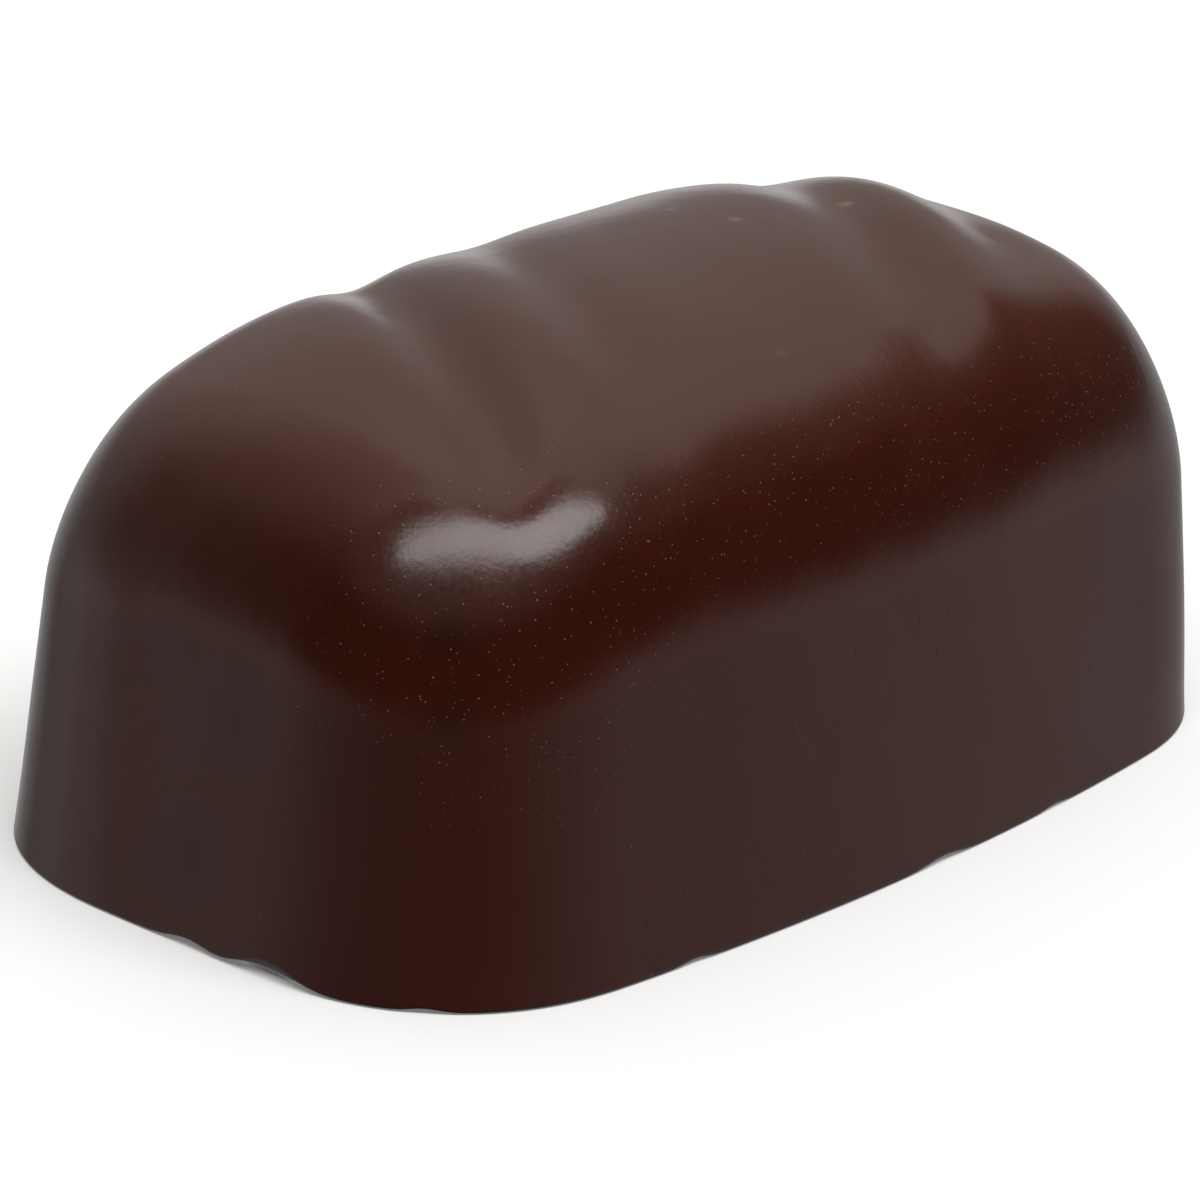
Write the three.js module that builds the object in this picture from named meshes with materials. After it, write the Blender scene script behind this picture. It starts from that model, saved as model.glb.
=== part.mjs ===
// A mint-filled chocolate: a moulded dark chocolate praline, whole and shut, so it is one solid body.
// Millimetres, +Z up. The flat base lies on z = 0 with its middle at the origin, and +X runs along
// the long axis. A leaning wall, round in plan, meets an arched top through a broad soft shoulder,
// and a slanted rib crosses the top near each end, with a groove on both sides of it.
import * as THREE from 'three';

// Base and height
const LENGTH = 38;
const WIDTH = 22.45;
const HEIGHT = 15.83;

// Wall: how far it leans in for each mm of height, its corners in plan, and how far its sides bow.
// An exponent over 2 lets the corners flow softly into the sides.
const WALL_LEAN = 0.101;
const CORNER_RADIUS = 7.05;
const CORNER_TAPER = 0.107;
const CORNER_EXPONENT = 2.4;
const SIDE_BOW = 1.67;

// Top: an arc across, an arc along beyond a level stretch in the middle, and the shoulder round it
const ARCH_RADIUS = 18.3;
const END_ARC_RADIUS = 22.65;
const LEVEL_HALF_LENGTH = 6.63;
const SHOULDER_RADIUS = 3.48;

// Ribs and grooves that cross the top, by distance along X from a line that runs parallel to them.
// The slant is how far they move along X for each mm along Y. Beyond the outer grooves the top is
// stepped down a little, and all of it fades out between the two depths inside the wall.
const RIB_SLANT = 0.585;
const RIBS = [
  { at: -6.2, halfWidth: 2.3, rise: 0.07 },
  { at: 10.25, halfWidth: 2.4, rise: 0.51 },
];
const GROOVES = [
  { at: -9.08, halfWidth: 1.43, depth: 0.65 },
  { at: -3.97, halfWidth: 1.5, depth: 0.25 },
  { at: 9.01, halfWidth: 1.84, depth: 0.67 },
  { at: 13.95, halfWidth: 1.6, depth: 0.24 },
];
const END_STEPS_DOWN = { near: 0.09, far: 0.01 };
const END_STEP_RUN = 3;
const RELIEF_FADE = { none: -1, full: 7.5 };

// Rim of the base: a finely softened edge, and the places where it is chipped up off the table
const RIM_SOFTENING = 0.06;
const RIM_INSET = 0.5;
const RIM_CHIPS = [
  { x: -19.0, y: -0.5, reach: 0.9, lift: 0.2 },
  { x: -19.0, y: -3.5, reach: 1.2, lift: 0.5 },
  { x: -17.4, y: -7.9, reach: 0.6, lift: 0.1 },
  { x: -9.4, y: -10.7, reach: 0.6, lift: 0.1 },
  { x: 1.3, y: -11.1, reach: 1.0, lift: 0.15 },
  { x: 6.9, y: -10.9, reach: 0.6, lift: 0.08 },
];

// Mesh: rays leave a spine in the middle of the base, fan out round it and rise to the crest
const SPINE_HALF_LENGTH = 13;
const SIDE_STEPS = 38;
const END_STEPS = 20;
const RINGS = 34;
const RAY_LIMIT = 40;
const BISECTIONS = 32;

const { abs, exp, hypot, max, min, sqrt, sin, cos, atan2, PI } = Math;

function smoothStep(value) {
  const t = min(max(value, 0), 1);
  return t * t * (3 - 2 * t);
}

// How far a circular arc has dropped and how steep it is, at a distance from its crown
function arc(distance, radius) {
  const reach = min(abs(distance), 0.9 * radius);
  const rise = sqrt(radius * radius - reach * reach);
  const slope = reach / rise;
  return { drop: radius - rise + (abs(distance) - reach) * slope, slope };
}

// What the ribs, the grooves and the lower ends beyond them add to the height of the top
function relief(position, depthInWall) {
  const [first, last] = [GROOVES[0].at, GROOVES[GROOVES.length - 1].at];
  const swellOf = ({ at, halfWidth }) => exp(-(((position - at) / halfWidth) ** 2));
  let height = -END_STEPS_DOWN.near * smoothStep(0.5 + (first - position) / END_STEP_RUN);
  height -= END_STEPS_DOWN.far * smoothStep(0.5 + (position - last) / END_STEP_RUN);
  for (const rib of RIBS) {
    height += rib.rise * swellOf(rib);
  }
  for (const groove of GROOVES) {
    height -= groove.depth * swellOf(groove);
  }
  const { none, full } = RELIEF_FADE;
  return height * smoothStep((depthInWall - none) / (full - none));
}

// Distance outside the wall, negative inside: a rounded rectangle that shrinks as it rises
function wallDistance(x, y, z) {
  const halfLength = LENGTH / 2 - WALL_LEAN * z;
  const halfWidth = WIDTH / 2 - WALL_LEAN * z - SIDE_BOW * (x / (LENGTH / 2)) ** 2;
  const radius = CORNER_RADIUS - CORNER_TAPER * z;
  const beyondX = abs(x) - halfLength + radius;
  const beyondY = abs(y) - halfWidth + radius;
  const corner =
    (max(beyondX, 0) ** CORNER_EXPONENT + max(beyondY, 0) ** CORNER_EXPONENT) ** (1 / CORNER_EXPONENT);
  return corner + min(max(beyondX, beyondY), 0) - radius;
}

// Distance above the arched top, negative below it, at a depth inside the wall
function topDistance(x, y, z, depthInWall) {
  const across = arc(y, ARCH_RADIUS);
  const along = arc(max(abs(x) - LEVEL_HALF_LENGTH, 0), END_ARC_RADIUS);
  const height = HEIGHT - across.drop - along.drop + relief(x - RIB_SLANT * y, depthInWall);
  return (z - height) / sqrt(1 + across.slope ** 2 + along.slope ** 2);
}

// Distance outside the praline: wall and top joined by a fillet
function surfaceDistance(x, y, z) {
  const wall = wallDistance(x, y, z);
  const top = topDistance(x, y, z, -wall);
  const rounded = hypot(max(wall + SHOULDER_RADIUS, 0), max(top + SHOULDER_RADIUS, 0));
  return min(max(wall, top), -SHOULDER_RADIUS) + rounded;
}

// Distance along a ray from the base to the surface
function rayLength(ray, elevation) {
  let inside = 0;
  let outside = RAY_LIMIT;
  for (let step = 0; step < BISECTIONS; step += 1) {
    const length = (inside + outside) / 2;
    const [x, y, z] = pointOnRay(ray, elevation, length);
    if (surfaceDistance(x, y, z) < 0) {
      inside = length;
    } else {
      outside = length;
    }
  }
  return (inside + outside) / 2;
}

function pointOnRay(ray, elevation, length) {
  const reach = length * cos(elevation);
  return [ray.x + ray.dx * reach, ray.dy * reach, length * sin(elevation)];
}

// The rays once round the praline, counter-clockwise from above. Those of the two sides run
// parallel to the ribs, and those of the ends sweep half a turn from one side to the other.
function raysRound() {
  const towardsFront = atan2(-1, -RIB_SLANT);
  const rays = [];
  const addRay = (station, heading) => {
    const x = SPINE_HALF_LENGTH * ((2 * station) / SIDE_STEPS - 1);
    rays.push({ station, x, dx: cos(heading), dy: sin(heading) });
  };
  for (let station = 0; station < SIDE_STEPS; station += 1) {
    addRay(station, towardsFront);
  }
  for (let step = 0; step < END_STEPS; step += 1) {
    addRay(SIDE_STEPS, towardsFront + (PI * step) / END_STEPS);
  }
  for (let station = SIDE_STEPS; station > 0; station -= 1) {
    addRay(station, towardsFront + PI);
  }
  for (let step = 0; step < END_STEPS; step += 1) {
    addRay(0, towardsFront + PI + (PI * step) / END_STEPS);
  }
  return rays;
}

function rimLift(x, y) {
  let lift = RIM_SOFTENING;
  for (const chip of RIM_CHIPS) {
    lift += chip.lift * exp(-((hypot(x - chip.x, y - chip.y) / chip.reach) ** 2));
  }
  return lift;
}

// Rows of points from the middle of the base out to its rim, and up over the wall to the crest.
// The first and last rows are lines under and over the spine, which rays of one station share.
function pralineGeometry() {
  const rays = raysRound();
  const positions = [];
  const rows = [];

  const addRing = (pointOf) => {
    const start = positions.length / 3;
    rays.forEach((ray) => positions.push(...pointOf(ray)));
    rows.push((index) => start + index);
  };
  const addLine = (heightOf) => {
    const start = positions.length / 3;
    for (const ray of rays.slice(0, SIDE_STEPS + 1)) {
      positions.push(ray.x, 0, heightOf(ray));
    }
    rows.push((index) => start + rays[index].station);
  };

  for (const ray of rays) {
    ray.baseReach = rayLength(ray, 0);
    const [x, y] = pointOnRay(ray, 0, ray.baseReach);
    ray.rimElevation = atan2(rimLift(x, y), ray.baseReach);
  }
  addLine(() => 0);
  addRing((ray) => pointOnRay(ray, 0, ray.baseReach - RIM_INSET));
  for (let ring = 0; ring < RINGS; ring += 1) {
    addRing((ray) => {
      const elevation = ray.rimElevation + ((PI / 2 - ray.rimElevation) * ring) / RINGS;
      return pointOnRay(ray, elevation, rayLength(ray, elevation));
    });
  }
  addLine((ray) => rayLength(ray, PI / 2));

  const faces = [];
  for (let row = 0; row + 1 < rows.length; row += 1) {
    for (let index = 0; index < rays.length; index += 1) {
      const next = (index + 1) % rays.length;
      const [a, b] = [rows[row](index), rows[row](next)];
      const [c, d] = [rows[row + 1](next), rows[row + 1](index)];
      if (a !== b) {
        faces.push(a, b, c);
      }
      if (c !== d) {
        faces.push(a, c, d);
      }
    }
  }
  const geometry = new THREE.BufferGeometry();
  geometry.setAttribute('position', new THREE.Float32BufferAttribute(positions, 3));
  geometry.setIndex(faces);
  geometry.computeVertexNormals();
  return geometry;
}

const darkChocolate = new THREE.MeshStandardMaterial({ color: 0x3b1d14, roughness: 0.35, metalness: 0 });

const chocolate = new THREE.Mesh(pralineGeometry(), darkChocolate);
chocolate.name = 'chocolate';

const praline = new THREE.Group();
praline.add(chocolate);

export default praline;
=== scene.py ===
"""A mint-filled chocolate: the look of a moulded dark chocolate praline, whole and shut.

The praline is worked out here in millimetres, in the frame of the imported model, and its mesh is
put into the scene in metres. The base lies on z = 0, and +X runs along the long axis.
"""

from math import atan2, pi, radians

import bpy
import numpy as np
from mathutils import Matrix, Vector


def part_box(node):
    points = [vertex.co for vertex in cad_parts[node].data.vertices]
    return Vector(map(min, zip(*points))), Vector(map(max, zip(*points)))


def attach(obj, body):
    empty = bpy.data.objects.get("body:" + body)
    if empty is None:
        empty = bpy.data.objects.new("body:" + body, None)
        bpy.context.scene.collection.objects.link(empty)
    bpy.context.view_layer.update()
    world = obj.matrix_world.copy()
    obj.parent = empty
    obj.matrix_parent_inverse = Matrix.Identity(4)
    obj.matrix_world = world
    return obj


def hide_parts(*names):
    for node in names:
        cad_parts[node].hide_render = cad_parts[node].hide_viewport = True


MM = 0.001

# Wall, top and shoulder of the praline. An arc runs on straight past ARC_SHARE of its radius. The
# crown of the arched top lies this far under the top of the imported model, because a rib stands over
# it there and the swells need a little room.
CREST_OVER_TOP = 0.045
WALL_LEAN = 0.101
CORNER_RADIUS = 7.05
CORNER_TAPER = 0.107
CORNER_EXPONENT = 2.4
SIDE_BOW = 1.67
ARCH_RADIUS = 18.3
END_ARC_RADIUS = 22.65
LEVEL_HALF_LENGTH = 6.63
ARC_SHARE = 0.9
SHOULDER_RADIUS = 3.48

# Ribs and grooves that cross the top: distance along X from a line that runs parallel to them,
# half width, and rise or depth. Beyond the outer grooves the top is stepped down a little, and all
# of it fades out between the two depths inside the wall.
RIB_SLANT = 0.585
RIBS = ((-6.2, 2.3, 0.07), (10.25, 2.4, 0.51))
GROOVES = ((-9.08, 1.43, 0.65), (-3.97, 1.5, 0.25), (9.01, 1.84, 0.67), (13.95, 1.6, 0.24))
END_STEPS_DOWN = (0.09, 0.01)
END_STEP_RUN = 3
RELIEF_FADE = (-1, 7.5)

# Rim of the base: x, y, reach and lift of each chip
RIM_SOFTENING = 0.06
RIM_INSET = 0.5
RIM_CHIPS = (
    (-19.0, -0.5, 0.9, 0.2),
    (-19.0, -3.5, 1.2, 0.5),
    (-17.4, -7.9, 0.6, 0.1),
    (-9.4, -10.7, 0.6, 0.1),
    (1.3, -11.1, 1.0, 0.15),
    (6.9, -10.9, 0.6, 0.08),
)

# Mesh: rays leave a spine in the middle of the base, fan out round it and rise to the crest
SPINE_HALF_LENGTH = 13
SIDE_STEPS = 130
END_STEPS = 120
RINGS = 188
RAY_LIMIT = 40
BISECTIONS = 30

# Unevenness of the moulded surface: wavelength and height of each swell, by how much its waves vary
# in length, and the height over the base at which it has reached its full size
SWELLS = ((9.0, 0.014), (5.0, 0.007), (2.6, 0.003))
SWELL_WAVES = 9
SWELL_SPREAD = (0.8, 1.25)
SWELL_RUN_IN = 1.5
SWELL_SEED = 7

# Camera: where it stands and looks, its roll, its lens and sensor in mm, and how near it sees in
# metres
CAMERA_AT = Vector((-130.286, -106.519, 70.316)) * MM
CAMERA_AIM = Vector((-1.165, 0.172, 5.421)) * MM
CAMERA_ROLL = radians(3.188)
CAMERA_LENS = 183.7
CAMERA_SENSOR = 36
CAMERA_CLIP_START = 0.01

# Softbox: direction from the praline, size in metres, and radiance where a white floor has 1
SOFTBOX_AZIMUTH = -20
SOFTBOX_ELEVATION = 64
SOFTBOX_ROLL = radians(-11)
SOFTBOX_DISTANCE = 1.0
SOFTBOX_WIDTH = 1.62
SOFTBOX_DEPTH = 0.35
SOFTBOX_RADIANCE = 5.7

# Floor, in metres: it shows to the camera only, and its glow keeps it white
FLOOR_HALF_WIDTH = 2.0
FLOOR_WHITE = 0.95
FLOOR_GLOW = 0.15
FLOOR_ROUGHNESS = 0.9

# Room: for each part of it, its share by azimuth and its radiance by elevation, in degrees.
# Azimuth 0 is towards -Y and 90 towards +X.
ALL_ROUND = (-180, 180)
DOWN_TO_UP = (-90, 90)
MOST_RADIANCE = 2.0
ROOM = (
    (  # front
        ((-180, 0), (-120, 0), (-104, 1), (35, 1), (47, 0), (180, 0)),
        (
            (-90, 0.06), (27, 0.05), (34, 0.2), (42, 0.26), (48, 0.12),
            (76, 0.12), (84, 0.95), (90, 1.0),
        ),
    ),
    (  # right of the front
        ((-180, 0), (35, 0), (47, 1), (55, 1), (78, 0), (180, 0)),
        (
            (-90, 0.06), (24, 0.06), (30, 0.14), (39, 0.22), (44, 0.74),
            (60, 0.95), (90, 1.05),
        ),
    ),
    (  # right
        ((-180, 0), (55, 0), (78, 1), (88, 1), (102, 0), (180, 0)),
        (
            (-90, 0.08), (8, 0.08), (25, 0.11), (35, 0.22), (39, 0.74),
            (60, 0.92), (90, 1.05),
        ),
    ),
    (  # right of the back
        ((-180, 0), (88, 0), (102, 1), (145, 1), (178, 0), (180, 0)),
        (
            (-90, 0.26), (5, 0.3), (20, 0.42), (35, 0.52), (45, 0.66),
            (55, 0.82), (65, 0.95), (90, 1.05),
        ),
    ),
    (  # back
        ((-180, 1), (-175, 1), (-150, 0), (145, 0), (178, 1), (180, 1)),
        (
            (-90, 0.25), (5, 0.27), (20, 0.4), (35, 0.56), (45, 0.64),
            (60, 0.6), (75, 0.74), (90, 1.05),
        ),
    ),
    (  # left of the back
        ((-180, 0), (-175, 0), (-150, 1), (-138, 1), (-120, 0), (180, 0)),
        (
            (-90, 0.4), (5, 0.3), (12, 0.2), (25, 0.19), (35, 0.3),
            (50, 0.44), (60, 0.52), (75, 0.72), (90, 1.05),
        ),
    ),
    (  # left
        ((-180, 0), (-138, 0), (-120, 1), (-104, 0), (180, 0)),
        (
            (-90, 0.06), (30, 0.06), (38, 0.11), (45, 0.28), (54, 0.5),
            (66, 0.72), (90, 1.05),
        ),
    ),
)
ROOM_TINT = (1.05, 1.04, 1.0, 1)

# Table that the praline mirrors: its radiance by azimuth, which is lower near by, and the
# elevations between which it gives way to the room
TABLE = (
    (-180, 0.27), (-160, 0.56), (-140, 0.56), (-120, 0.36), (-100, 0.23),
    (-75, 0.17), (-35, 0.16), (-10, 0.22), (15, 0.33), (40, 0.44),
    (58, 0.46), (80, 0.4), (100, 0.38), (130, 0.72), (180, 0.27),
)
TABLE_END = (-7, 5)
TABLE_NEAR_BY = {"start": -20, "end": -8, "low": 0.8}

# Colours of the finish, linear. Wall, shoulder and top have painted light and shade: the top is
# lighter and the shoulder darker than the wall, and they go over into each other between two values of
# how far the surface faces up.
WALL_BROWN_WITH_PAINTED_LIGHT = (0.059, 0.0064, 0.0012, 1)
SHOULDER_BROWN_WITH_PAINTED_SHADE = (0.043, 0.0049, 0.0012, 1)
TOP_BROWN_WITH_PAINTED_LIGHT = (0.064, 0.0092, 0.0015, 1)
DARK_BROWN = (0.02, 0.003, 0.001, 1)
LIGHT_BROWN = (0.22, 0.095, 0.045, 1)
DUST_GREY = (0.42, 0.33, 0.28, 1)
PAINTED_SHADE_WALL_TO_SHOULDER = (0.15, 0.4)
PAINTED_LIGHT_SHOULDER_TO_TOP = (0.4, 0.88)
CLOUD_IN_MOTTLE = 0.7
GRAIN_IN_MOTTLE = 0.3
MOTTLE_STRENGTH = 1.1

# How far each mark covers the colour under it
BLOTCH_COVER = 0.5
SPOT_COVER = 0.8
SCUFF_COVER = 0.02
DUST_COVER = 0.38

# Noises of the finish: scale for each mm, and detail. The combed one is drawn out along Y and Z.
GRAIN_NOISE = (7.0, 1.0)
CLOUD_NOISE = (0.5, 2.0)
WAVE_NOISE = (0.9, 1.0)
COMBED_NOISE = (1.0, 1.0)
COMBED_SCALES = (5.0, 0.35, 0.35)

# Grains strewn over the surface: cells for each mm, radius in mm, and the share of cells with one.
# The smallest has SMALLEST_GRAIN of that radius, and a grain is at full strength within GRAIN_MIDDLE
# of its own. Scratches are drawn out along one axis, after the turns.
SMALLEST_GRAIN = 0.45
GRAIN_MIDDLE = 0.6
FINE_DUST = {"per_mm": 6.0, "radius": 0.03, "share": 0.7}
COARSE_DUST = {"per_mm": 1.7, "radius": 0.03, "share": 0.14}
PITS = {"per_mm": 2.2, "radius": 0.08, "share": 0.35}
SCRATCHES = {"per_mm": 2.3, "radius": 0.03, "share": 0.6}
SCRATCH_TURNS = (-25, 30, -50)
SCRATCH_SCALES = (1.0, 0.07, 1.0)

# Where marks set in: none under the first value of the noise or mark that they go by, all of them
# over the second
DUSTY_GRAIN = (0.75, 1.1)
PITTED_CLOUD = (0.42, 0.62)
SCUFFED_GRAIN = (0.35, 0.65)
SCRATCHED_SCUFFS = (0.0, 0.5)

# Stretches of the surface, in mm: place and reach, or limits given as an axis, the value up to which
# a mark is left out and the value from which it has its full strength
DUSTY_CORNER = ((-14.5, -8.0, 10.5), 9.0)
DUSTY_FRONT = (("Y", -6.8, -8.4), ("Z", 9.0, 11.0), ("Z", 14.6, 13.2))
DUSTY_FRONT_STRENGTH = 0.6
COMBED_SHOULDER = (("Y", -6.0, -7.0), ("Y", -9.6, -8.8), ("X", -11.5, -9.0))

# Sheen: the roughness of clean chocolate, and what the noises and marks add to it
CHOCOLATE_IOR = 1.5
CLEAN_ROUGHNESS = 0.175
ROUGHNESS_ADDED = {"cloud": 0.12, "grain": 0.08, "scratches": 0.4, "scuffs": 0.06, "dust": 0.4}

# Fine relief of the finish: heights in mm
WAVE_HEIGHT = 0.01
GRAIN_HEIGHT = 0.0022
SCUFFED_GRAIN_HEIGHT = 0.0008
COMBED_HEIGHT = 0.004
PIT_HEIGHT = -0.012

# Marks of the finish: place in mm, reach and strength
DARK_BLOTCHES = (
    ((-18.3, -1.4, 6.8), 1.9, 0.8),
    ((-18.7, -0.2, 2.7), 1.8, 0.8),
    ((-16.1, -7.1, 10.4), 1.0, 1.0),
    ((-16.6, -7.6, 8.3), 1.2, 0.8),
    ((11.9, -10.0, 5.3), 2.2, 0.5),
)
PALE_SCUFFS = (
    ((-9.4, -10.0, 7.6), 1.8, 0.6),
    ((-14.9, -6.3, 12.4), 2.6, 1.0),
)
BROWN_SPOTS = (
    ((4.4, 2.9, 15.6), 0.3, 1.0),
    ((4.6, 0.6, 15.8), 0.35, 1.0),
    ((9.4, 0.2, 15.4), 0.4, 1.0),
    ((-1.4, -6.1, 14.8), 0.3, 0.2),
)


def smooth_step(value):
    t = np.clip(value, 0, 1)
    return t * t * (3 - 2 * t)


def arc(distance, radius):
    """How far a circular arc has dropped and how steep it is, at a distance from its crown."""
    reach = np.minimum(abs(distance), ARC_SHARE * radius)
    rise = np.sqrt(radius**2 - reach**2)
    slope = reach / rise
    return radius - rise + (abs(distance) - reach) * slope, slope


def relief(position, depth_in_wall):
    """What the ribs, the grooves and the lower ends beyond them add to the height of the top."""
    near_step = END_STEPS_DOWN[0] * smooth_step(0.5 + (GROOVES[0][0] - position) / END_STEP_RUN)
    far_step = END_STEPS_DOWN[1] * smooth_step(0.5 + (position - GROOVES[-1][0]) / END_STEP_RUN)
    height = -near_step - far_step
    for middle, half_width, rise in RIBS:
        height = height + rise * np.exp(-(((position - middle) / half_width) ** 2))
    for middle, half_width, depth in GROOVES:
        height = height - depth * np.exp(-(((position - middle) / half_width) ** 2))
    none, full = RELIEF_FADE
    return height * smooth_step((depth_in_wall - none) / (full - none))


def surface_distance(praline, x, y, z):
    """Distance outside the praline, negative inside: wall and top joined by a fillet."""
    half_length = praline["length"] / 2 - WALL_LEAN * z
    bow = SIDE_BOW * (x / (praline["length"] / 2)) ** 2
    half_width = praline["width"] / 2 - WALL_LEAN * z - bow
    radius = CORNER_RADIUS - CORNER_TAPER * z
    beyond_x = abs(x) - half_length + radius
    beyond_y = abs(y) - half_width + radius
    reach_x, reach_y = (np.maximum(beyond, 0) ** CORNER_EXPONENT for beyond in (beyond_x, beyond_y))
    corner = (reach_x + reach_y) ** (1 / CORNER_EXPONENT)
    wall = corner + np.minimum(np.maximum(beyond_x, beyond_y), 0) - radius

    drop_across, slope_across = arc(y, ARCH_RADIUS)
    drop_along, slope_along = arc(np.maximum(abs(x) - LEVEL_HALF_LENGTH, 0), END_ARC_RADIUS)
    height = praline["height"] - drop_across - drop_along + relief(x - RIB_SLANT * y, -wall)
    top = (z - height) / np.sqrt(1 + slope_across**2 + slope_along**2)

    rounded = np.hypot(np.maximum(wall + SHOULDER_RADIUS, 0), np.maximum(top + SHOULDER_RADIUS, 0))
    return np.minimum(np.maximum(wall, top), -SHOULDER_RADIUS) + rounded


def surface_normal(praline, points, step=0.02):
    """Unit normals of the distance field at points of the surface."""
    slopes = []
    for axis in range(3):
        ahead, behind = points.copy(), points.copy()
        ahead[axis] += step
        behind[axis] -= step
        slopes.append(surface_distance(praline, *ahead) - surface_distance(praline, *behind))
    normal = np.array(slopes)
    return normal / np.linalg.norm(normal, axis=0)


def rays_round():
    """Station, start and heading of the rays once round the praline, counter-clockwise.

    Those of the two sides run parallel to the ribs. Those of the ends sweep half a turn.
    """
    towards_front = atan2(-1, -RIB_SLANT)
    fan = pi * np.arange(END_STEPS) / END_STEPS
    station = np.concatenate(
        (
            np.arange(SIDE_STEPS),
            np.full(END_STEPS, SIDE_STEPS),
            np.arange(SIDE_STEPS, 0, -1),
            np.zeros(END_STEPS, int),
        )
    )
    heading = towards_front + np.concatenate(
        (np.zeros(SIDE_STEPS), fan, np.full(SIDE_STEPS, pi), pi + fan)
    )
    return station, SPINE_HALF_LENGTH * (2 * station / SIDE_STEPS - 1), heading


def points_on_rays(start, heading, elevation, length):
    reach = length * np.cos(elevation)
    return np.array(
        np.broadcast_arrays(
            start + reach * np.cos(heading), reach * np.sin(heading), length * np.sin(elevation)
        )
    )


def ray_lengths(praline, start, heading, elevation):
    """Distance along each ray from the base to the surface."""
    shape = np.broadcast_shapes(np.shape(start), np.shape(heading), np.shape(elevation))
    inside = np.zeros(shape)
    outside = np.full(shape, float(RAY_LIMIT))
    for _ in range(BISECTIONS):
        length = (inside + outside) / 2
        within = surface_distance(praline, *points_on_rays(start, heading, elevation, length)) < 0
        inside = np.where(within, length, inside)
        outside = np.where(within, outside, length)
    return (inside + outside) / 2


def rim_lift(x, y):
    lift = RIM_SOFTENING
    for chip_x, chip_y, reach, chip_lift in RIM_CHIPS:
        lift = lift + chip_lift * np.exp(-((np.hypot(x - chip_x, y - chip_y) / reach) ** 2))
    return lift


def swell(points):
    """Height of the unevenness at points of the surface: waves in random directions."""
    draw = np.random.default_rng(SWELL_SEED)
    height = np.zeros(points.shape[1:])
    for wavelength, amplitude in SWELLS:
        for _ in range(SWELL_WAVES):
            direction = draw.normal(size=3)
            direction /= np.linalg.norm(direction)
            phase = draw.uniform(0, 2 * pi)
            along = np.tensordot(direction, points, 1)
            wave = np.sin(2 * pi * along / (wavelength * draw.uniform(*SWELL_SPREAD)) + phase)
            height += amplitude * wave / np.sqrt(SWELL_WAVES)
    return height


def praline_mesh(praline):
    """Vertices and faces, row by row from the middle of the base up to the crest."""
    station, start, heading = rays_round()
    base_reach = ray_lengths(praline, start, heading, 0.0)
    rim = points_on_rays(start, heading, 0.0, base_reach)
    rim_elevation = np.arctan2(rim_lift(rim[0], rim[1]), base_reach)
    step = np.arange(RINGS)[:, None] / RINGS
    elevation = rim_elevation + (pi / 2 - rim_elevation) * step
    lengths = ray_lengths(praline, start, heading, elevation)
    rings = points_on_rays(start, heading, elevation, lengths)
    crest_start = start[: SIDE_STEPS + 1]
    crest_height = ray_lengths(praline, crest_start, 0.0, pi / 2)
    crest = np.array((crest_start, 0 * crest_start, crest_height))

    settled = smooth_step(rings[2] / SWELL_RUN_IN)
    rings += surface_normal(praline, rings) * swell(rings) * settled
    crest += surface_normal(praline, crest) * swell(crest)

    count = len(station)
    line = SIDE_STEPS + 1
    base_line = np.array((crest_start, 0 * crest_start, 0 * crest_start))
    inset = points_on_rays(start, heading, 0.0, base_reach - RIM_INSET)
    vertices = np.concatenate((base_line, inset, rings.reshape(3, -1), crest), axis=1)

    rows = [station]
    rows += [line + count * row + np.arange(count) for row in range(RINGS + 1)]
    rows += [line + count * (RINGS + 1) + station]
    faces = []
    for lower, upper in zip(rows[:-1], rows[1:]):
        corners = (lower, np.roll(lower, -1), np.roll(upper, -1), upper)
        for a, b, c, d in zip(*(corner.tolist() for corner in corners)):
            if a == b:
                faces.append((a, c, d))
            elif c == d:
                faces.append((a, b, c))
            else:
                faces.append((a, b, c, d))
    return vertices.T * MM, faces


def add_mesh(name, vertices, faces, material):
    mesh = bpy.data.meshes.new(name)
    mesh.from_pydata(vertices.tolist(), [], faces)
    mesh.polygons.foreach_set("use_smooth", [True] * len(mesh.polygons))
    mesh.materials.append(material)
    mesh.update()
    piece = bpy.data.objects.new(name, mesh)
    bpy.context.scene.collection.objects.link(piece)
    return piece


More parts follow.
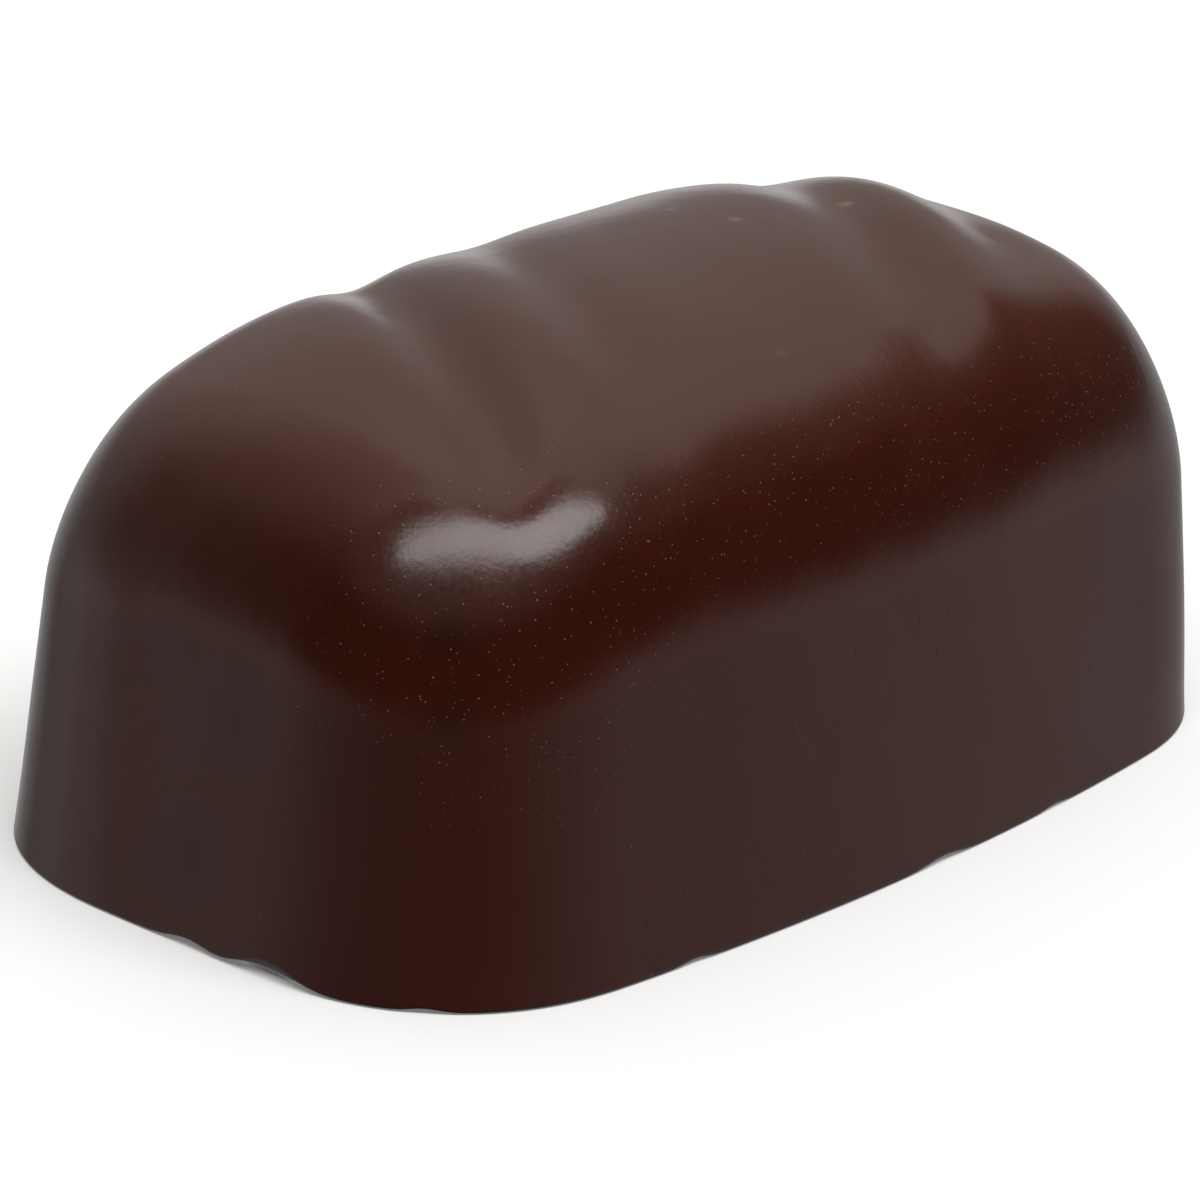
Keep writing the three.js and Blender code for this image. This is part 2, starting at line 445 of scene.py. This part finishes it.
class Nodes:
    """Adds shader nodes to one tree and joins them up."""

    def __init__(self, tree):
        self.tree = tree

    def add(self, kind, inputs, **settings):
        node = self.tree.nodes.new(kind)
        for name, value in settings.items():
            setattr(node, name, value)
        for name, value in inputs.items():
            self.join(value, node.inputs[name])
        return node

    def join(self, value, socket):
        if isinstance(value, bpy.types.NodeSocket):
            self.tree.links.new(value, socket)
        else:
            socket.default_value = value

    def math(self, operation, *values):
        return self.add("ShaderNodeMath", dict(enumerate(values)), operation=operation).outputs[0]

    def product(self, *factors):
        result = factors[0]
        for factor in factors[1:]:
            result = self.math("MULTIPLY", result, factor)
        return result

    def total(self, *terms):
        result = terms[0]
        for term in terms[1:]:
            result = self.math("ADD", result, term)
        return result

    def ease(self, value, start, end, low=0.0, high=1.0):
        """Runs smoothly from low to high while the value runs from start to end."""
        inputs = {"Value": value, "From Min": start, "From Max": end, "To Min": low, "To Max": high}
        node = self.add("ShaderNodeMapRange", inputs, interpolation_type="SMOOTHSTEP")
        return node.outputs["Result"]

    def curve(self, value, stops, span, top):
        """Piecewise linear function of a value, given as (value, result) stops.

        The stops fill the span of values, and no result is over the top.
        """
        low, high = span
        inputs = {"Value": value, "From Min": low, "From Max": high}
        along = self.add("ShaderNodeMapRange", inputs).outputs["Result"]
        node = self.add("ShaderNodeFloatCurve", {"Value": along})
        points = node.mapping.curves[0].points
        while len(points) < len(stops):
            points.new(0, 0)
        for point, (at, result) in zip(points, stops):
            point.location = ((at - low) / (high - low), result / top)
            point.handle_type = "VECTOR"
        node.mapping.update()
        return self.math("MULTIPLY", node.outputs[0], top)

    def scaled(self, vector, factors):
        node = self.add("ShaderNodeVectorMath", {0: vector, 1: factors}, operation="MULTIPLY")
        return node.outputs["Vector"]

    def turned(self, vector, turns):
        inputs = {"Vector": vector, "Rotation": [radians(turn) for turn in turns]}
        return self.add("ShaderNodeVectorRotate", inputs, rotation_type="EULER_XYZ").outputs["Vector"]

    def noise(self, vector, scale, detail):
        inputs = {"Vector": vector, "Scale": scale, "Detail": detail}
        return self.add("ShaderNodeTexNoise", inputs).outputs["Fac"]

    def grains(self, vector, per_mm, radius, share):
        """Small round grains, one to a cell, of which a share is kept: 1 in their middles."""
        node = self.add("ShaderNodeTexVoronoi", {"Vector": vector, "Scale": per_mm})
        chance = self.add("ShaderNodeSeparateColor", {"Color": node.outputs["Color"]}).outputs
        kept = self.math("LESS_THAN", chance["Red"], share)
        size = self.ease(chance["Green"], 0.0, 1.0, SMALLEST_GRAIN, 1.0)
        outwards = self.math("DIVIDE", node.outputs["Distance"], self.product(size, radius * per_mm))
        return self.product(kept, self.ease(outwards, 1.0, GRAIN_MIDDLE))

    def near(self, vector, place, reach):
        """1 at a place, falling to 0 at its reach."""
        node = self.add("ShaderNodeVectorMath", {0: vector, 1: place}, operation="DISTANCE")
        return self.ease(node.outputs["Value"], reach, 0.0)

    def near_any(self, vector, marks):
        """Strongest of several marks, each given as place, reach and strength."""
        result = 0.0
        for place, reach, strength in marks:
            mark = self.product(self.near(vector, place, reach), strength)
            result = self.math("MAXIMUM", result, mark)
        return result

    def within(self, axes, limits):
        """1 inside a stretch of the surface, whose limits are given as (axis, start, end)."""
        return self.product(*(self.ease(axes[axis], start, end) for axis, start, end in limits))

    def blend(self, factor, under, over):
        """Colour that goes from one to the other while the factor goes from 0 to 1."""
        node = self.add("ShaderNodeMix", {0: factor}, data_type="RGBA")
        colours = [socket for socket in node.inputs if socket.type == "RGBA"]
        for colour, socket in zip((under, over), colours):
            self.join(colour, socket)
        return next(socket for socket in node.outputs if socket.type == "RGBA")


def chocolate_marks(nodes, place):
    """Noises and marks of the chocolate's surface by name, each 1 where it is strongest."""
    axes = nodes.add("ShaderNodeSeparateXYZ", {"Vector": place}).outputs
    grain = nodes.noise(place, *GRAIN_NOISE)
    cloud = nodes.noise(place, *CLOUD_NOISE)
    scuffs = nodes.near_any(place, PALE_SCUFFS)

    # Dust lies thickest on the near corner and on the shoulder of the front
    front = nodes.product(nodes.within(axes, DUSTY_FRONT), DUSTY_FRONT_STRENGTH)
    dusty = nodes.total(grain, nodes.math("MAXIMUM", nodes.near(place, *DUSTY_CORNER), front))
    fine_dust = nodes.product(nodes.grains(place, **FINE_DUST), nodes.ease(dusty, *DUSTY_GRAIN))

    # Scratches are grains drawn out into short straight strokes, on the scuffs only
    drawn_out = nodes.scaled(nodes.turned(place, SCRATCH_TURNS), SCRATCH_SCALES)
    strokes = nodes.grains(drawn_out, **SCRATCHES)

    combed = nodes.noise(nodes.scaled(place, COMBED_SCALES), *COMBED_NOISE)
    return {
        "grain": grain,
        "cloud": cloud,
        "scuffs": scuffs,
        "dust": nodes.math("MAXIMUM", fine_dust, nodes.grains(place, **COARSE_DUST)),
        "blotches": nodes.near_any(place, DARK_BLOTCHES),
        "spots": nodes.near_any(place, BROWN_SPOTS),
        "scratches": nodes.product(strokes, nodes.ease(scuffs, *SCRATCHED_SCUFFS)),
        "pits": nodes.product(nodes.grains(place, **PITS), nodes.ease(cloud, *PITTED_CLOUD)),
        "combed": nodes.product(combed, nodes.within(axes, COMBED_SHOULDER)),
    }


def chocolate_colour(nodes, marks, facing_up):
    """Brown with painted light and shade by how far the surface faces up, mottled, with its marks over
    it.
    """
    cloud = nodes.product(marks["cloud"], CLOUD_IN_MOTTLE)
    grain = nodes.product(marks["grain"], GRAIN_IN_MOTTLE)
    mottle = nodes.math("SUBTRACT", nodes.total(cloud, grain), 0.5)
    # Painted light and shade: lighter on top and darker on the shoulder than on the wall, by how far
    # the surface faces up
    painted_light_and_mottle = nodes.total(nodes.ease(facing_up, *PAINTED_LIGHT_SHOULDER_TO_TOP), nodes.product(mottle, MOTTLE_STRENGTH))
    painted_side_shade = nodes.blend(nodes.ease(facing_up, *PAINTED_SHADE_WALL_TO_SHOULDER), WALL_BROWN_WITH_PAINTED_LIGHT, SHOULDER_BROWN_WITH_PAINTED_SHADE)
    colour = nodes.blend(painted_light_and_mottle, painted_side_shade, TOP_BROWN_WITH_PAINTED_LIGHT)
    scuffed = nodes.product(marks["scuffs"], nodes.ease(marks["grain"], *SCUFFED_GRAIN))
    for mark, cover, mark_colour in (
        (marks["blotches"], BLOTCH_COVER, DARK_BROWN),
        (marks["spots"], SPOT_COVER, LIGHT_BROWN),
        (scuffed, SCUFF_COVER, DUST_GREY),
        (marks["dust"], DUST_COVER, DUST_GREY),
    ):
        colour = nodes.blend(nodes.product(mark, cover), colour, mark_colour)
    return colour


def chocolate_roughness(nodes, marks):
    """Roughness of clean chocolate with what its noises and marks add."""
    noises = {name: nodes.math("SUBTRACT", marks[name], 0.5) for name in ("cloud", "grain")}
    roughness = CLEAN_ROUGHNESS
    for name, added in ROUGHNESS_ADDED.items():
        roughness = nodes.total(roughness, nodes.product(noises.get(name, marks[name]), added))
    return roughness


def chocolate_relief(nodes, marks, place):
    """Height of the fine relief in mm."""
    grain_height = nodes.total(GRAIN_HEIGHT, nodes.product(marks["scuffs"], SCUFFED_GRAIN_HEIGHT))
    return nodes.total(
        nodes.product(nodes.noise(place, *WAVE_NOISE), WAVE_HEIGHT),
        nodes.product(marks["grain"], grain_height),
        nodes.product(marks["combed"], COMBED_HEIGHT),
        nodes.product(marks["pits"], PIT_HEIGHT),
    )


def chocolate_material():
    """Dark chocolate with a soft sheen, mottled, dusty and finely pitted, scratched and scuffed."""
    material = bpy.data.materials.new("dark_chocolate")
    material.use_nodes = True
    shader = material.node_tree.nodes["Principled BSDF"]
    nodes = Nodes(material.node_tree)
    coordinates = nodes.add("ShaderNodeTexCoord", {}).outputs
    place = nodes.scaled(coordinates["Object"], (1 / MM, 1 / MM, 1 / MM))
    facing = nodes.add("ShaderNodeSeparateXYZ", {"Vector": coordinates["Normal"]}).outputs
    marks = chocolate_marks(nodes, place)
    relief_height = chocolate_relief(nodes, marks, place)
    bump = nodes.add("ShaderNodeBump", {"Height": relief_height, "Distance": MM, "Strength": 1.0})
    nodes.join(chocolate_colour(nodes, marks, facing["Z"]), shader.inputs["Base Color"])
    nodes.join(chocolate_roughness(nodes, marks), shader.inputs["Roughness"])
    nodes.join(bump.outputs["Normal"], shader.inputs["Normal"])
    shader.inputs["IOR"].default_value = CHOCOLATE_IOR
    return material


def floor_material():
    material = bpy.data.materials.new("pale_floor")
    material.use_nodes = True
    shader = material.node_tree.nodes["Principled BSDF"]
    shader.inputs["Base Color"].default_value = (FLOOR_WHITE, FLOOR_WHITE, FLOOR_WHITE, 1)
    shader.inputs["Emission Color"].default_value = (1, 1, 1, 1)
    shader.inputs["Emission Strength"].default_value = FLOOR_GLOW
    shader.inputs["Roughness"].default_value = FLOOR_ROUGHNESS
    shader.inputs["Specular IOR Level"].default_value = 0
    return material


def add_floor():
    half = FLOOR_HALF_WIDTH
    corners = np.array([(-half, -half, 0), (half, -half, 0), (half, half, 0), (-half, half, 0)])
    floor = add_mesh("floor", corners, [(0, 1, 2, 3)], floor_material())
    floor.visible_glossy = False
    floor.visible_diffuse = False


def direction(azimuth, elevation):
    """Unit vector, with azimuth 0 towards -Y and 90 towards +X."""
    a, e = radians(azimuth), radians(elevation)
    return Vector((np.sin(a) * np.cos(e), -np.cos(a) * np.cos(e), np.sin(e)))


def add_softbox():
    """A wide lamp above the front, long across the view and softly rounded."""
    light = bpy.data.lights.new("softbox", "AREA")
    light.shape = "ELLIPSE"
    light.size, light.size_y = SOFTBOX_WIDTH, SOFTBOX_DEPTH
    light.energy = SOFTBOX_RADIANCE * pi * pi / 4 * SOFTBOX_WIDTH * SOFTBOX_DEPTH
    softbox = bpy.data.objects.new("softbox", light)
    back = direction(SOFTBOX_AZIMUTH, SOFTBOX_ELEVATION)
    rotation = back.to_track_quat("Z", "Y").to_matrix() @ Matrix.Rotation(SOFTBOX_ROLL, 3, "Z")
    softbox.matrix_world = Matrix.Translation(back * SOFTBOX_DISTANCE) @ rotation.to_4x4()
    bpy.context.scene.collection.objects.link(softbox)


def add_world():
    """The room by the parts of ROOM, blended where they meet, and the table under it."""
    world = bpy.data.worlds.new("studio")
    world.use_nodes = True
    nodes = Nodes(world.node_tree)
    coordinates = nodes.add("ShaderNodeTexCoord", {})
    towards = coordinates.outputs["Generated"]
    x, y, z = nodes.add("ShaderNodeSeparateXYZ", {"Vector": towards}).outputs
    elevation = nodes.product(nodes.math("ARCSINE", z), 180 / pi)
    azimuth = nodes.product(nodes.math("ARCTAN2", x, nodes.product(y, -1.0)), 180 / pi)
    strength = 0.0
    for shares, levels in ROOM:
        share = nodes.curve(azimuth, shares, ALL_ROUND, 1.0)
        level = nodes.curve(elevation, levels, DOWN_TO_UP, MOST_RADIANCE)
        strength = nodes.math("ADD", strength, nodes.product(share, level))
    table = nodes.curve(azimuth, TABLE, ALL_ROUND, 1.0)
    table = nodes.product(table, nodes.ease(elevation, **TABLE_NEAR_BY))
    above = nodes.ease(elevation, *TABLE_END)
    below = nodes.math("SUBTRACT", 1.0, above)
    strength = nodes.total(nodes.product(strength, above), nodes.product(table, below))
    background = world.node_tree.nodes["Background"]
    nodes.join(nodes.blend(above, (1, 1, 1, 1), ROOM_TINT), background.inputs["Color"])
    nodes.join(strength, background.inputs["Strength"])
    bpy.context.scene.world = world


def add_camera():
    camera = bpy.data.objects.new("camera", bpy.data.cameras.new("camera"))
    camera.data.sensor_width = CAMERA_SENSOR
    camera.data.lens = CAMERA_LENS
    camera.data.clip_start = CAMERA_CLIP_START
    back = (CAMERA_AT - CAMERA_AIM).normalized()
    rotation = back.to_track_quat("Z", "Y").to_matrix() @ Matrix.Rotation(CAMERA_ROLL, 3, "Z")
    camera.matrix_world = Matrix.Translation(CAMERA_AT) @ rotation.to_4x4()
    bpy.context.scene.collection.objects.link(camera)
    bpy.context.scene.camera = camera


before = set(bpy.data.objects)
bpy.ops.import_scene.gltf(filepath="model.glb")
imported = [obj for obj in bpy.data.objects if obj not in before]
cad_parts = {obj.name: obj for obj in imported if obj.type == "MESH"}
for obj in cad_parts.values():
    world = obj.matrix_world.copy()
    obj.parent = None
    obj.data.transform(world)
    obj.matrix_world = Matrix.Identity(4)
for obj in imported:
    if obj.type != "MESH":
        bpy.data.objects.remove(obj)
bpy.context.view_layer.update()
add_camera()
add_world()
add_softbox()
bpy.context.scene.view_settings.view_transform = "Standard"

low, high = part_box("chocolate")
praline = {
    "length": (high.x - low.x) / MM,
    "width": (high.y - low.y) / MM,
    "height": (high.z - low.z) / MM - CREST_OVER_TOP,
}
vertices, faces = praline_mesh(praline)
piece = add_mesh("praline", vertices, faces, chocolate_material())
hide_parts("chocolate")
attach(piece, "root")
add_floor()
